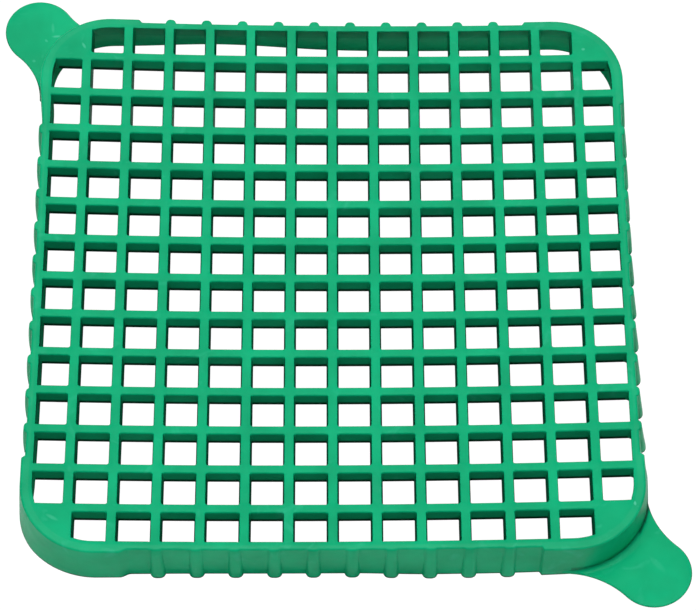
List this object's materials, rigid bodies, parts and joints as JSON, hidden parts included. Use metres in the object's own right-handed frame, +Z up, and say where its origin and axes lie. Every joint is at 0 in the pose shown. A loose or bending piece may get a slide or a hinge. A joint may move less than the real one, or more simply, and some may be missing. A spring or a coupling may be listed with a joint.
{
  "type": "queen excluder",
  "caption": "Square slotted grid cap on a low ribbed skirt with rounded corners and two finger tabs; lets worker bees through and holds back the queen.",
  "frame": {"origin": "under the middle of the grid, on the plane that the lowest edge of the skirt stands on", "axes": "+Z up out of the grid's top face, +X and +Y along the bars; the finger tabs are at the +X -Y and -X +Y corners"},
  "size_m": [0.0976, 0.0976, 0.0088],
  "materials": {
    "green_plastic": "satin, as moulded"
  },
  "bodies": {
    "root": {"corner_wall_back_left": "green_plastic", "corner_wall_back_right": "green_plastic", "corner_wall_front_left": "green_plastic", "corner_wall_front_right": "green_plastic", "corner_web_back_left": "green_plastic", "corner_web_back_right": "green_plastic", "corner_web_front_left": "green_plastic", "corner_web_front_right": "green_plastic", "finger_tab_back_left": "green_plastic", "finger_tab_front_right": "green_plastic", "grid_bar_x_01": "green_plastic", "grid_bar_x_02": "green_plastic", "grid_bar_x_03": "green_plastic", "grid_bar_x_04": "green_plastic", "grid_bar_x_05": "green_plastic", "grid_bar_x_06": "green_plastic", "grid_bar_x_07": "green_plastic", "grid_bar_x_08": "green_plastic", "grid_bar_x_09": "green_plastic", "grid_bar_x_10": "green_plastic", "grid_bar_x_11": "green_plastic", "grid_bar_x_12": "green_plastic", "grid_bar_x_13": "green_plastic", "grid_bar_y_01": "green_plastic", "grid_bar_y_02": "green_plastic", "grid_bar_y_03": "green_plastic", "grid_bar_y_04": "green_plastic", "grid_bar_y_05": "green_plastic", "grid_bar_y_06": "green_plastic", "grid_bar_y_07": "green_plastic", "grid_bar_y_08": "green_plastic", "grid_bar_y_09": "green_plastic", "grid_bar_y_10": "green_plastic", "grid_bar_y_11": "green_plastic", "grid_bar_y_12": "green_plastic", "grid_bar_y_13": "green_plastic", "side_wall_back": "green_plastic", "side_wall_front": "green_plastic", "side_wall_left": "green_plastic", "side_wall_right": "green_plastic"}
  },
  "joints": []
}
